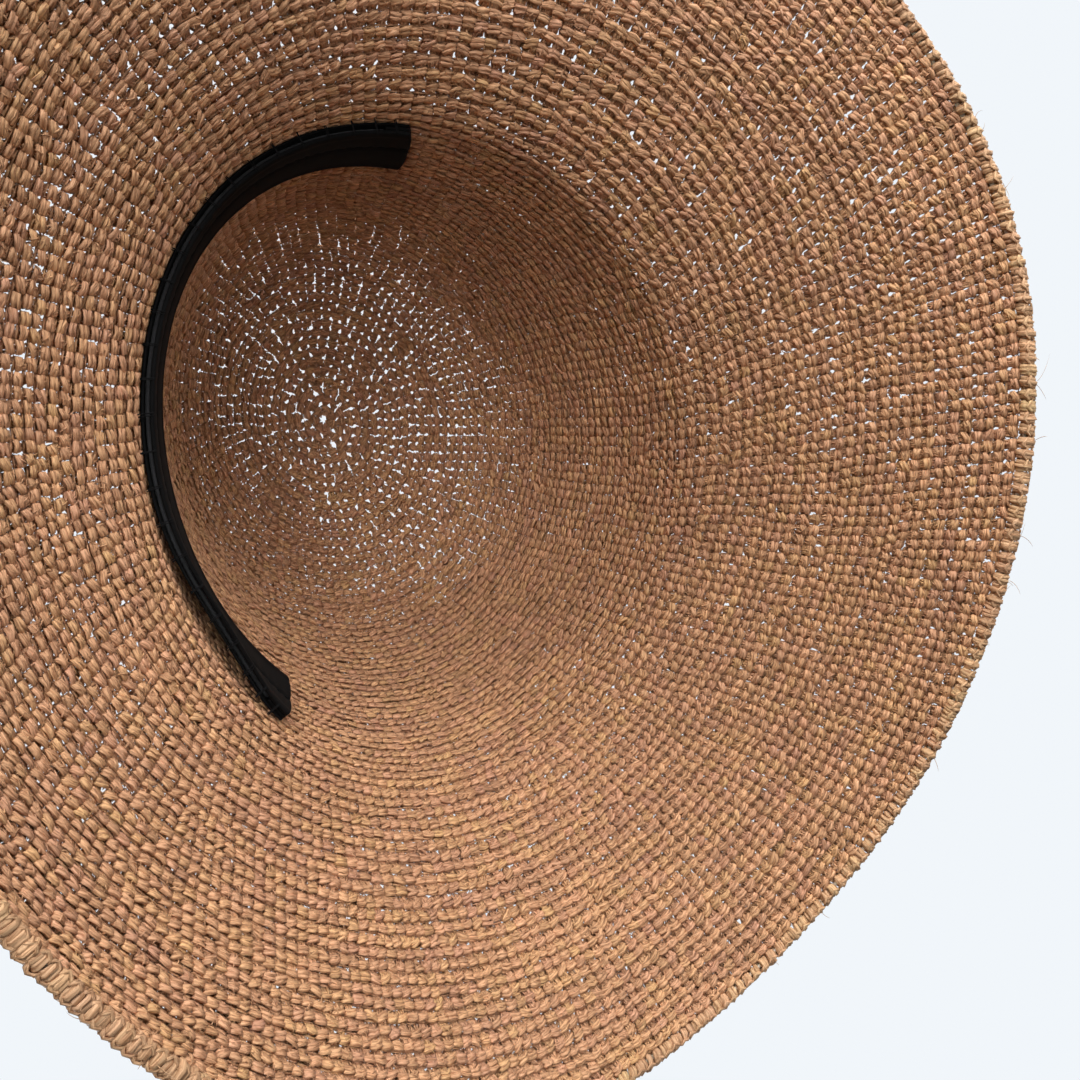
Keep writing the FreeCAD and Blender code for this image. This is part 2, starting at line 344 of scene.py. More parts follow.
class Strands:
    """Many short closed strands: each is a row of rings that tapers to a point at both ends."""

    def __init__(self):
        self.points, self.loops, self.starts, self.uvs, self.tones = [], [], [], [], []
        self.vertex_count = self.loop_count = self.cells = 0

    def topology(self, stations, sides):
        """Corner indices, polygon sizes and corner UVs of one strand."""
        rings, spans = stations - 2, stations - 1
        last = 1 + rings * sides
        corners, sizes, uvs = [], [], []
        for side in range(sides):
            after = (side + 1) % sides
            low, high = side / sides, (side + 1) / sides
            corners += [0, 1 + after, 1 + side]
            uvs += [(0.0, (low + high) / 2), (1 / spans, high), (1 / spans, low)]
            sizes.append(3)
            for ring in range(rings - 1):
                a, b = 1 + ring * sides, 1 + (ring + 1) * sides
                u0, u1 = (ring + 1) / spans, (ring + 2) / spans
                corners += [a + side, a + after, b + after, b + side]
                uvs += [(u0, low), (u0, high), (u1, high), (u1, low)]
                sizes.append(4)
            end = 1 + (rings - 1) * sides
            corners += [last, end + side, end + after]
            uvs += [(1.0, (low + high) / 2), (rings / spans, low), (rings / spans, high)]
            sizes.append(3)
        return np.array(corners), np.array(sizes), np.array(uvs)

    def add(self, paths, outward, half_width, half_thickness, tones, rng, sides=3, lumps=0.10):
        """paths and outward are [strand, station, xyz]; widths are [strand, station]."""
        count, stations = paths.shape[:2]
        tangent = unit(np.gradient(paths, axis=1))
        side = unit(np.cross(tangent, outward))
        up = np.cross(side, tangent)
        angle = 2 * np.pi * (np.arange(sides) / sides + rng.uniform(0, 1, (count, 1, 1)))
        swell = 1.0 + lumps * rng.standard_normal((count, stations, sides))
        across = (np.cos(angle) * swell * half_width[..., None])[..., None] * side[:, :, None]
        above = (np.sin(angle) * swell * half_thickness[..., None])[..., None] * up[:, :, None]
        rings = (paths[:, :, None] + across + above)[:, 1:-1].reshape(count, -1, 3)
        points = np.concatenate([paths[:, :1], rings, paths[:, -1:]], 1)
        corners, sizes, uvs = self.topology(stations, sides)
        each = points.shape[1]
        offsets = self.vertex_count + np.arange(count)[:, None] * each
        self.points.append(points.reshape(-1, 3))
        self.loops.append((corners[None] + offsets).ravel())
        starts = np.concatenate([[0], np.cumsum(sizes)[:-1]])
        loop_offsets = self.loop_count + np.arange(count)[:, None] * len(corners)
        self.starts.append((starts[None] + loop_offsets).ravel())
        cell = self.cells + np.arange(count)
        corner = np.stack([cell % ATLAS, cell // ATLAS], -1)[:, None]
        inset = 0.06            # of a cell, kept clear on each side
        self.uvs.append(((corner + inset + (1 - 2 * inset) * uvs[None]) / ATLAS).reshape(-1, 2))
        self.tones.append(np.repeat(tones, each, axis=0))
        self.vertex_count += count * each
        self.loop_count += count * len(corners)
        self.cells += count

    def mesh(self, name):
        mesh = bpy.data.meshes.new(name)
        points, loops = np.concatenate(self.points), np.concatenate(self.loops)
        starts = np.concatenate(self.starts)
        mesh.vertices.add(len(points))
        mesh.loops.add(len(loops))
        mesh.polygons.add(len(starts))
        mesh.vertices.foreach_set("co", points.astype(np.float32).ravel())
        mesh.loops.foreach_set("vertex_index", loops.astype(np.int32))
        mesh.polygons.foreach_set("loop_start", starts.astype(np.int32))
        mesh.polygons.foreach_set("use_smooth", np.ones(len(starts), bool))
        layer = mesh.uv_layers.new(name="OFBake")
        layer.uv.foreach_set("vector", np.concatenate(self.uvs).astype(np.float32).ravel())
        tone = mesh.attributes.new("tone", "FLOAT_COLOR", "POINT")
        tone.data.foreach_set("color", np.concatenate(self.tones).astype(np.float32).ravel())
        mesh.update(calc_edges=True)
        return mesh


def new_object(name, data):
    made = bpy.data.objects.new(name, data)
    bpy.context.scene.collection.objects.link(made)
    return made


def add_piece(name, mesh, material, slot, *nodes):
    """A finished piece of the hat that stands for these CAD nodes."""
    piece = new_object(name, mesh)
    mesh.materials.append(material)
    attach(piece, "root")
    if nodes:
        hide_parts(*nodes)
    return piece


def yarn_tones(count, rng):
    """Lightness and hue of each stitch's yarn; stitches from one length of yarn agree."""
    run = 12                    # stitches made from one length of yarn
    slow = np.convolve(rng.standard_normal(count + run), np.ones(run) / run, "same")[:count] * 2.4
    light = 0.5 + 0.06 * slow + 0.08 * rng.standard_normal(count)
    hue = 0.5 + 0.08 * slow + 0.12 * rng.standard_normal(count)
    return np.stack([np.clip(light, 0, 1), np.clip(hue, 0, 1), rng.uniform(0, 1, count),
                     np.ones(count)], -1)


# Strand shapes, station by station: across in stitch widths, along in round heights (positive
# towards the brim's edge), out of the fabric in millimetres, and share of the strand's full width.
# A leg's ply has two across values: for a closed gap beside it and for an open one.
INNER_PLIES = ((((0.20, 0.18), -0.60, 0.20, 0.5),
                ((0.34, 0.27), -0.44, -0.15, 0.9),
                ((0.38, 0.18), -0.24, -0.75, 1.0),
                ((0.37, 0.31), -0.02, -0.80, 1.0),
                ((0.30, 0.28), 0.36, -0.30, 0.6)),
               (((0.02, 0.02), -0.62, 0.20, 0.5),
                ((0.11, 0.10), -0.44, -0.30, 0.9),
                ((0.13, 0.04), -0.22, -0.92, 1.0),
                ((0.12, 0.10), 0.02, -0.95, 1.0),
                ((0.08, 0.08), 0.36, -0.30, 0.6)))
OUTER_PLIES = ((((0.20, 0.18), -0.60, -0.10, 0.5),
                ((0.37, 0.29), -0.38, 0.65, 0.9),
                ((0.39, 0.19), -0.22, 0.95, 1.0),
                ((0.40, 0.37), 0.20, 0.95, 1.0),
                ((0.38, 0.38), 0.62, -0.10, 0.6)),
               (((0.02, 0.02), -0.62, -0.10, 0.5),
                ((0.11, 0.09), -0.36, 0.75, 0.9),
                ((0.13, 0.06), -0.12, 1.10, 1.0),
                ((0.15, 0.13), 0.20, 1.05, 1.0),
                ((0.17, 0.17), 0.62, -0.10, 0.6)))
BAR = ((-0.63, -0.09, -0.25, 0.5),
       (-0.43, -0.04, -1.06, 1.0),
       (0.0, 0.03, -1.28, 1.0),
       (0.43, -0.04, -1.06, 1.0),
       (0.63, -0.09, -0.25, 0.5))
CHAIN = ((-0.66, -0.10, 0.35, 0.4),
         (-0.40, -0.03, -0.30, 0.9),
         (0.0, 0.02, -0.45, 1.0),
         (0.40, -0.03, -0.30, 0.9),
         (0.66, -0.08, 0.35, 0.4))
GAP_PLACE = -0.24
GAP_REACH = 0.20
GAP_FLATTENING = 0.60           # of a leg beside a gap that is wide open
BAR_GIVE = (0.24, 0.20)         # how far such a gap pulls a bar's end in, and along
CHAIN_PLACE = 0.50
BAR_PLACES = (0.05, 0.31)
LOOSE_FIBRES = 0.8              # for each stitch
STRAY_FIBRES = 90               # past the brim's lip

# Half widths of the strands in millimetres, before each stitch's own small difference.
LEG_HALF_WIDTH = 0.76
LEG_THINNING = 0.36             # beside a gap that is wide open
LEG_HALF_THICKNESS = 0.42
BAR_HALF_WIDTH = 0.76
SLACK_HALF_WIDTH = 0.30
CHAIN_HALF_WIDTH = 0.46
PRESSED_DEPTH = 1.1             # how far stitches stand out under the sweatband


def under_band(turn, distance):
    """Where the sweatband presses the stitches flat."""
    away = (turn - (BAND_START + BAND_END) / 2.0 + 180.0) % 360.0 - 180.0
    up = -distance - (BAND_LOW + BAND_HIGH) / 2.0
    return (np.abs(away) < (BAND_END - BAND_START) / 2.0 + 1.0) & (
        np.abs(up) < (BAND_HIGH - BAND_LOW) / 2.0 + 1.0 * MM)


def lay_strands(strands, record, across, along, depth, half_width, half_thickness, tones, rng,
                sides=3):
    """Strands whose stations are given in stitch widths, round heights and millimetres."""
    height = record["high"] - record["low"]
    middle = (record["low"] + record["high"]) / 2.0
    across = across + record["skew"][:, None] * along + record["shift"][:, None, 0]
    along = along + record["shift"][:, None, 1]
    turns = record["turn"][:, None] + across * record["spacing"][:, None]
    distances = middle + along * height
    depth = np.where(under_band(turns, distances), np.maximum(depth, -PRESSED_DEPTH), depth)
    points, outward = surface.look_up(turns, distances)
    points = points + outward * (depth * MM)[..., None]
    strands.add(points, outward, half_width * MM, half_thickness * MM, tones, rng, sides)


def leg_strands(strands, plies, record, gaps, which, tones, rng):
    """The left (-1) or right (+1) leg of every stitch of a round, on one face of the fabric."""
    count = len(record["turn"])
    gap = (np.roll(gaps, 1) if which < 0 else gaps)[:, None]
    lean = vary(rng, count, 0.08)
    for shape in plies:
        closed, opened = np.array([row[0] for row in shape]).T
        along, out, width = np.array([row[1:] for row in shape]).T
        across = which * (closed * (1 - gap) + opened * gap)
        across = across + lean * along + vary(rng, count, 0.02)
        along = along + vary(rng, count, 0.04) + which * 0.04
        drawn_in = 1 - GAP_FLATTENING * gap * bump(along, GAP_PLACE, GAP_REACH)
        depth = out * (1 + vary(rng, count, 0.12)) * drawn_in
        own_width = LEG_HALF_WIDTH - LEG_THINNING * gap + vary(rng, count, 0.05)
        half_width = own_width * width
        half_thickness = (LEG_HALF_THICKNESS + vary(rng, count, 0.04)) * width
        lay_strands(strands, record, across, along, depth, half_width, half_thickness, tones, rng)


def bar_strands(strands, record, gaps, tones, rng):
    """The yarn wrapped over the top of every stitch, with a slack ply across it."""
    count = len(record["turn"])
    side, arch, out, width = np.array(BAR).T
    pulled = np.where(side > 0.0, gaps[:, None], np.roll(gaps, 1)[:, None]) * np.abs(side)
    slant = 0.16 + vary(rng, count, 0.15)
    fullness = 1.0 + vary(rng, count, 0.10)
    for place in BAR_PLACES:
        own_slant = slant + vary(rng, count, 0.10)
        along = place + vary(rng, count, 0.03) + own_slant * side
        along = along + arch * (1 + vary(rng, count, 0.6)) + BAR_GIVE[1] * pulled
        lifted = fullness + vary(rng, count, 0.10)
        half_width = (BAR_HALF_WIDTH + vary(rng, count, 0.07)) * width
        across = side * (1.0 - BAR_GIVE[0] * pulled)
        lay_strands(strands, record, across, along, out * lifted, half_width, half_width * 0.60,
                    tones, rng, sides=4)
    turn_over = rng.normal(0.0, 45.0, (count, 1))
    reach = rng.uniform(0.5, 0.8, (count, 1)) * side
    along = 0.15 + reach * sind(turn_over) + vary(rng, count, 0.12)
    size = (SLACK_HALF_WIDTH + vary(rng, count, 0.06)) * width
    depth = (out - 0.28) * fullness + 0.8 * reach ** 2
    lay_strands(strands, record, reach * cosd(turn_over), along, depth, size, size * 0.8, tones, rng)


def chain_strands(strands, record, tones, rng):
    """The loop along each stitch's top, which the next round is worked over."""
    count = len(record["turn"])
    side, arch, out, width = np.array(CHAIN).T
    along = CHAIN_PLACE + arch + vary(rng, count, 0.03)
    size = (CHAIN_HALF_WIDTH + vary(rng, count, 0.05)) * width
    lay_strands(strands, record, side, along, out, size, size * 0.95, tones, rng)


def loose_fibres(strands, record, tones, rng):
    """Fine fibres that have worked loose and lie over the stitches, on both faces."""
    stitches = len(record["turn"])
    chosen = rng.integers(0, stitches, int(LOOSE_FIBRES * stitches))
    part = {key: value[chosen] if np.ndim(value) else value for key, value in record.items()}
    count = len(chosen)
    share = np.linspace(-0.5, 0.5, 5)
    angle = rng.normal(0.0, 55.0, (count, 1))
    length = rng.uniform(0.4, 1.1, (count, 1))
    curl = rng.normal(0.0, 0.5, (count, 1)) * share ** 2
    across = share * length * sind(angle) + curl + rng.uniform(-0.5, 0.5, (count, 1))
    along = share * length * cosd(angle) - curl + rng.uniform(-0.5, 0.5, (count, 1))
    face = np.where(rng.uniform(size=(count, 1)) < 0.7, -1.0, 1.0)
    lift = 1.35 - 2.0 * share ** 2 + rng.uniform(0.0, 0.25, (count, 1))
    size = rng.uniform(0.10, 0.24, (count, 1)) * np.array((0.5, 1.0, 1.0, 1.0, 0.5))
    lay_strands(strands, part, across, along, face * lift, size, size * 0.7, tones[chosen], rng)


def crochet_round(strands, record, rng):
    """Every strand of one round."""
    count = len(record["turn"])
    middle = np.full(count, (record["low"] + record["high"]) / 2.0)
    through = openness(record["turn"], middle, rng.uniform(-0.7, 0.7), rng)
    inside = np.maximum(through, dimples(record["turn"], middle, rng))
    tones = yarn_tones(count, rng)
    record["shift"] = rng.normal(0.0, (0.035, 0.045), (count, 2))
    record["skew"] = 0.8 * record["lean"] + rng.normal(0.0, 0.07, count)
    for which in (-1, 1):
        leg_strands(strands, INNER_PLIES, record, inside, which, tones, rng)
        leg_strands(strands, OUTER_PLIES, record, through, which, tones, rng)
    bar_strands(strands, record, through, tones, rng)
    chain_strands(strands, record, tones, rng)
    loose_fibres(strands, record, tones, rng)


def crochet_pieces(rounds, material):
    """The body of the hat, in pieces of whole rounds."""
    ends = {"crown_tip": TIP_ROUNDS, "crown_side": SIDE_ROUNDS,
            "brim_inner": INNER_BRIM_ROUNDS, "brim_outer": ROUNDS}
    start = 0
    for node, span in ends.items():
        group = rounds[start:min(start + span, ROUNDS)]
        start += span
        total = sum(len(record["turn"]) for record in group)
        parts = math.ceil(total / MOST_STITCHES)
        done, number, strands = 0, 1, Strands()
        for record in group:
            rng = np.random.default_rng((SEED, record["index"]))
            crochet_round(strands, record, rng)
            done += len(record["turn"])
            if done >= total * number / parts - 1 or record is group[-1]:
                name = "%s_%d" % (node, number)
                add_piece(name, strands.mesh(name), material, "raffia", node)
                number, strands = number + 1, Strands()


# ---------------------------------------------------------------- the edge round

LIP_CENTRE = BRIM_WIDTH - 2.3 * MM
LIP_REACH = 2.2 * MM            # of the edge round's yarn from the line inside it


def lip_strands(strands, record, across, angles, reach, half_width, tones, rng):
    """Strands round the brim's lip: stations are stitch widths along it and degrees round it."""
    turns = record["turn"][:, None] + across * record["spacing"][:, None]
    points, outward = surface.look_up(turns, LIP_CENTRE + LIP_REACH * reach * cosd(angles))
    points = points + outward * (LIP_REACH * 0.9 * reach * sind(angles))[..., None]
    core = surface.look_up(turns, np.full_like(turns, LIP_CENTRE))[0]
    strands.add(points, unit(points - core), half_width * MM, half_width * 0.7 * MM, tones, rng,
                sides=4)


def stray_fibres(strands, record, tones, rng):
    """A few fine fibre ends that stick out past the lip."""
    chosen = rng.integers(0, len(record["turn"]), STRAY_FIBRES)
    part = {"turn": record["turn"][chosen], "spacing": record["spacing"][chosen]}
    each = (STRAY_FIBRES, 1)
    share = np.linspace(0.0, 1.0, 6)
    across = rng.normal(0.0, 0.7, each) * share + rng.normal(0.0, 0.8, each) * share ** 2
    reach = 0.9 + rng.uniform(0.5, 2.4, each) * share
    angles = rng.normal(0.0, 30.0, each) * (1.0 + share)
    size = rng.uniform(0.10, 0.17, each) * (1.0 - 0.6 * share)
    lip_strands(strands, part, across, angles, reach, size, tones[chosen], rng)


def edge_round(record, material):
    """Stitches worked over the stiffening line, with their chain along the lip."""
    rng = np.random.default_rng((SEED, EDGE_DRAWS))
    strands = Strands()
    count = len(record["turn"])
    tones = yarn_tones(count, rng)
    round_lip = np.array((-172.0, -140.0, -105.0, -60.0, 0.0, 60.0, 105.0, 140.0, 172.0))
    width = np.array((0.4, 0.9, 1.0, 1.0, 1.0, 1.0, 1.0, 0.9, 0.4))
    for ply in (-0.25, 0.0, 0.25):
        slant = 0.20 + vary(rng, count, 0.12)
        across = ply + slant * round_lip / round_lip[-1] + vary(rng, count, 0.04)
        reach = (1.0 - 2.2 * ply ** 2) * (1.0 + vary(rng, count, 0.06))
        size = (0.92 + vary(rng, count, 0.08)) * width
        lip_strands(strands, record, across, round_lip, reach, size, tones, rng)
    side = np.array((-0.70, -0.40, 0.0, 0.36, 0.62))
    bow = np.array((8.0, 46.0, 66.0, 46.0, 10.0))
    rise = np.array((0.80, 1.10, 1.18, 1.10, 0.80))
    width = np.array((0.4, 0.9, 1.0, 0.9, 0.4))
    for half in (-1.0, 1.0):
        angles = half * bow - 18.0 + vary(rng, count, 7.0)
        across = side + vary(rng, count, 0.06)
        size = (0.60 + vary(rng, count, 0.07)) * width
        reach = rise * (1.0 + vary(rng, count, 0.05))
        lip_strands(strands, record, across, angles, reach, size, tones, rng)
    stray_fibres(strands, record, tones, rng)
    add_piece("edge_yarn", strands.mesh("edge_yarn"), material, "raffia_edge", "brim_edge_round")


def start_ring(material):
    """The loop of yarn in the middle of the crown that the first round is worked into."""
    rng = np.random.default_rng((SEED, RING_DRAWS))
    strands = Strands()
    plies, stations = 5, 15
    outward = surface.look_up(np.zeros(1), -CROWN_LENGTH)[1]
    middle = surface.look_up(np.arange(0.0, 360.0, 30.0), -CROWN_LENGTH)[0].mean(0)
    angles = np.linspace(0.0, 400.0, stations) + rng.uniform(0.0, 360.0, (plies, 1))
    radius = 2.3 * MM + vary(rng, plies, 0.35 * MM)
    height = vary(rng, plies, 0.5 * MM) + 0.2 * MM * sind(2.0 * angles)
    paths = np.stack([middle[0] + radius * cosd(angles), middle[1] + radius * sind(angles),
                      middle[2] + height], -1)
    width = np.full((plies, stations), 0.5 * MM)
    strands.add(paths, outward, width, width * 0.8, yarn_tones(plies, rng), rng, sides=5)
    add_piece("start_loop", strands.mesh("start_loop"), material, "raffia", "crown_start_ring")


# ---------------------------------------------------------------- the sweatband

FOLD_TURN = math.degrees(9.0 * MM / MEAN_RADIUS)
PAD_BACK = BAND_TAPE + LAYER_GAP
PAD_FACE = PAD_BACK + BAND_PAD
FACE_BACK = PAD_FACE + LAYER_GAP
BAND_FACE = FACE_BACK + BAND_TAPE
SEAM_HEIGHT = 12.0 * MM
SEAM_STITCHES = 60
TACKS = 26
BAND_HEM = 2.2 * MM
END_SLANT = 3.4                 # degrees by which each end of the band leans over, low to high
END_PIVOT = 0.4                 # share of the height at which the end stays where it was
END_ROUNDING = 16.0             # how much its corners are drawn back
END_REACH = 14.0                # degrees over which all that fades away from the end


def band_place(turn, height, depth):
    """Points of the band by turn, height up the wall and depth off it."""
    bow = BOW_DEPTH * bump(turn, BOW_TURN, BOW_SPREAD)
    up = (height - BAND_LOW) / (BAND_HIGH - BAND_LOW)
    near_end = smooth_step(turn, BAND_END - END_REACH, BAND_END)
    near_start = smooth_step(-turn, -BAND_START - END_REACH, -BAND_START)
    shift = END_SLANT * (up - END_PIVOT) - END_ROUNDING * (up - 0.5) ** 4
    turn = turn + (near_end - near_start) * shift
    offset = FABRIC / 2.0 + BAND_WALL_GAP + depth + bow * (1.0 - up) ** 2
    return surface.place(turn, -height, -offset)


def band_relief(turn, height, depth, near, far, relief):
    """Depth of a layer's face with its creases; only the side towards the head has them."""
    share = (depth - near) / (far - near)
    return depth + share * relief(turn, height)


def smooth_relief(turn, height):
    return 0.05 * MM * sind(turn * 31.0) * sind(height / MM * 21.0)


def face_relief(turn, height):
    """A stitched groove along the band, puckered at each stitch, and rolled edges."""
    groove = bump(height, SEAM_HEIGHT, 0.9 * MM)
    near_seam = bump(height, SEAM_HEIGHT, 3.5 * MM)
    stitch = (turn - BAND_START) / (BAND_END - BAND_START) * SEAM_STITCHES
    pucker = cosd(360.0 * stitch) * near_seam
    roll = 1.6 * MM             # in from each edge
    rolls = bump(height, BAND_LOW + roll, 1.2 * MM) + bump(height, BAND_HIGH - roll, 1.2 * MM)
    swell = 0.35 * MM * (1.0 - near_seam) + 0.25 * MM * rolls
    return swell - 0.55 * MM * groove + 0.10 * MM * pucker + smooth_relief(turn, height)


def band_section(low, high, near, far, across):
    """Closed outline of a layer, as (height, depth), with rounded lips."""
    lip = (far - near) / 2.0
    middle = (near + far) / 2.0
    heights = np.linspace(low + lip, high - lip, across)
    arc = np.linspace(-90.0, 90.0, 7)[1:-1]
    return np.concatenate([
        np.stack([heights, np.full(across, far)], 1),
        np.stack([high - lip + lip * cosd(arc), middle - lip * sind(arc)], 1),
        np.stack([heights[::-1], np.full(across, near)], 1),
        np.stack([low + lip - lip * cosd(arc), middle + lip * sind(arc)], 1)])


def band_mesh(name, start, end, low, high, near, far, relief, rows, across):
    """Layer of the band as one closed mesh with rounded lips and ends."""
    outline = band_section(low, high, near, far, across)
    ease = 1.0 - np.cos(np.linspace(0.0, np.pi / 2.0, 6))
    inner = np.linspace(0.0, 1.0, rows)
    rounding = math.degrees((far - near) / 2.0 / MEAN_RADIUS)
    lead = start + rounding * ease[:-1]
    tail = end - (lead[::-1] - start)
    turns = np.concatenate([lead, start + rounding + (end - start - 2 * rounding) * inner, tail])
    closing = np.sqrt(np.maximum(1.0 - (1.0 - ease[:-1]) ** 2, 0.02))
    fullness = np.concatenate([closing, np.ones(rows), closing[::-1]])
    turn = np.repeat(turns[:, None], len(outline), 1)
    middle = (near + far) / 2.0
    height = np.repeat(outline[None, :, 0], len(turns), 0)
    depth = middle + (outline[None, :, 1] - middle) * fullness[:, None]
    depth = band_relief(turn, height, depth, near, far, relief)
    points = band_place(turn, height, depth)
    ring, count = len(outline), len(turns)
    i, j = np.meshgrid(np.arange(count - 1), np.arange(ring), indexing="ij")
    after = (j + 1) % ring
    quads = np.stack([i * ring + j, i * ring + after, (i + 1) * ring + after, (i + 1) * ring + j], -1)
    faces = quads.reshape(-1, 4).tolist()
    faces.append(list(range(ring))[::-1])
    faces.append(list(range((count - 1) * ring, count * ring)))
    mesh = bpy.data.meshes.new(name)
    mesh.from_pydata(points.reshape(-1, 3).tolist(), [], faces)
    mesh.polygons.foreach_set("use_smooth", np.ones(len(mesh.polygons), bool))
    unroll(mesh, (turn.ravel() - start) / (end - start), ring, (count - 1) * ring)
    mesh.update(calc_edges=True)
    return mesh


def unroll(mesh, along, ring, quad_count):
    """UVs of a band layer: along it, and round its outline, which has ring points."""
    corner = np.zeros(len(mesh.loops), int)
    mesh.loops.foreach_get("vertex_index", corner)
    round_share = (corner % ring) / ring
    quads = round_share[:quad_count * 4].reshape(-1, 4)
    wrapped = ((quads.max(1) - quads.min(1)) > 0.5)[:, None] & (quads < 0.5)
    round_share[:quad_count * 4] = np.where(wrapped, quads + 1.0, quads).ravel()
    fit = 0.97                  # keeps the wrapped quads inside the texture
    uv = np.stack([along[corner], round_share * fit], 1)
    mesh.uv_layers.new(name="OFBake").uv.foreach_set("vector", uv.astype(np.float32).ravel())


def thread_tones(count, rng):
    tones = np.full((count, 4), 0.5)
    tones[:, 2] = rng.uniform(0, 1, count)
    return tones


def topstitch(material):
    """The row of stitches in the band's groove, each a pair of twisted plies."""
    rng = np.random.default_rng((SEED, SEAM_DRAWS))
    strands = Strands()
    span = (BAND_END - BAND_START) / SEAM_STITCHES
    middle = BAND_START + span * (np.arange(SEAM_STITCHES) + 0.5)
    share = np.linspace(-1.0, 1.0, 9)
    length = math.degrees(1.35 * MM / MEAN_RADIUS)
    for ply in (0.0, 180.0):
        twist = ply + 150.0 * share
        turn = middle[:, None] + length * share
        wander = vary(rng, SEAM_STITCHES, 0.06 * MM)
        height = SEAM_HEIGHT + 0.11 * MM * sind(twist) + wander
        depth = BAND_FACE - 0.28 * MM - 0.60 * MM * share ** 4 + 0.11 * MM * cosd(twist)
        paths = band_place(turn, height, depth)
        facing = -surface.look_up(turn, -height)[1]
        width = np.full(turn.shape, 0.15 * MM)
        strands.add(paths, facing, width, width, thread_tones(SEAM_STITCHES, rng), rng, sides=6,
                    lumps=0.03)
    return add_piece("band_seam", strands.mesh("band_seam"), material, "thread",
                     "sweatband_topstitch")


def tacks(material):
    """Hand stitches from the crochet over the band's lower lip, two threads to each."""
    rng = np.random.default_rng((SEED, TACK_DRAWS))
    strands = Strands()
    middle = BAND_START + (BAND_END - BAND_START) * (np.arange(TACKS) + 0.5) / TACKS
    depth = np.array((-1.0, -0.4, 0.4, 1.6, 2.6, 3.25, 3.35, 3.2, 2.2)) * MM
    height = np.array((-1.2, -1.0, -0.7, -0.55, -0.3, 0.2, 1.4, 2.4, 2.9)) * MM + BAND_LOW
    for ply in (-1.0, 1.0):
        lean = ply * 0.25 + np.linspace(0.0, 0.9, 9) + vary(rng, TACKS, 0.1)
        turn = middle[:, None] + np.degrees(lean * MM / MEAN_RADIUS)
        paths = band_place(turn, height, depth)
        facing = -surface.look_up(turn, -height)[1]
        width = np.full(turn.shape, 0.16 * MM)
        strands.add(paths, facing, width, width, thread_tones(TACKS, rng), rng, sides=6, lumps=0.03)
    return add_piece("hand_stitches", strands.mesh("hand_stitches"), material, "thread",
                     "sweatband_tacks")


def sweatband(tape, pad_cloth, thread):
    """Two tapes, the pad between them, their turned-in ends and the sewing."""
    def layer(name, node, *shape, material=tape, slot="band_tape"):
        return add_piece(name, band_mesh(name, *shape), material, slot, node)

    backing = layer("band_backing", "sweatband_backing", BAND_START, BAND_END, BAND_LOW, BAND_HIGH,
                    0.0, BAND_TAPE, smooth_relief, 240, 30)
    face = layer("band_front", "sweatband_face", BAND_START, BAND_END, BAND_LOW, BAND_HIGH,
                 FACE_BACK, BAND_FACE, face_relief, 420, 60)
    pad = layer("band_padding", "sweatband_pad", BAND_START + FOLD_TURN + 0.3,
                BAND_END - FOLD_TURN - 0.3, BAND_LOW + BAND_HEM, BAND_HIGH - BAND_HEM, PAD_BACK,
                PAD_FACE, smooth_relief, 200, 24, material=pad_cloth, slot="band_pad")
    inside = (BAND_LOW + 0.3 * MM, BAND_HIGH - 0.3 * MM, PAD_BACK, PAD_FACE, smooth_relief, 24, 30)
    first = layer("band_fold_1", "sweatband_end_folds", BAND_START, BAND_START + FOLD_TURN, *inside)
    last = layer("band_fold_2", "sweatband_end_folds", BAND_END - FOLD_TURN, BAND_END, *inside)
    sewing = topstitch(thread), tacks(thread)


# ---------------------------------------------------------------- materials

def new_material(name, values):
    """A material whose shader has these input values, with its nodes, links and shader."""
    material = bpy.data.materials.new(name)
    material.use_nodes = True
    nodes, links = material.node_tree.nodes, material.node_tree.links
    shader = nodes["Principled BSDF"]
    set_inputs(shader, values)
    return material, nodes, links, shader


def set_inputs(node, values):
    for name, value in values.items():
        node.inputs[name].default_value = value


def add_node(nodes, kind, values):
    node = nodes.new(kind)
    set_inputs(node, values)
    return node


def colour_ramp(nodes, links, source, low, high, middle=()):
    """Colours picked by an output; low, high and each one between is a place and a colour."""
    ramp = nodes.new("ShaderNodeValToRGB")
    elements = ramp.color_ramp.elements
    for index, (place, colour) in enumerate((low, high)):
        elements[index].position = place
        elements[index].color = (*colour, 1.0)
    for place, colour in middle:
        elements.new(place).color = (*colour, 1.0)
    links.new(source, ramp.inputs["Fac"])
    return ramp.outputs["Color"]


def stretched_uv(nodes, links, along, across):
    """The mesh's own coordinates, scaled."""
    uv = nodes.new("ShaderNodeUVMap")
    uv.uv_map = "OFBake"
    stretch = add_node(nodes, "ShaderNodeMapping", {"Scale": (along, across, 1.0)})
    links.new(uv.outputs["UV"], stretch.inputs["Vector"])
    return stretch.outputs["Vector"]


def raise_bumps(nodes, links, shader, height, strength, distance):
    raised = add_node(nodes, "ShaderNodeBump", {"Strength": strength, "Distance": distance})
    links.new(height, raised.inputs["Height"])
    links.new(raised.outputs["Normal"], shader.inputs["Normal"])


def noise_bump(nodes, links, shader, scale, strength, distance):
    """Fine bumps in object space; gives back their noise."""
    place = nodes.new("ShaderNodeTexCoord")
    noise = add_node(nodes, "ShaderNodeTexNoise", {"Scale": scale, "Detail": 3.0})
    links.new(place.outputs["Object"], noise.inputs["Vector"])
    raise_bumps(nodes, links, shader, noise.outputs["Fac"], strength, distance)
    return noise.outputs["Fac"]


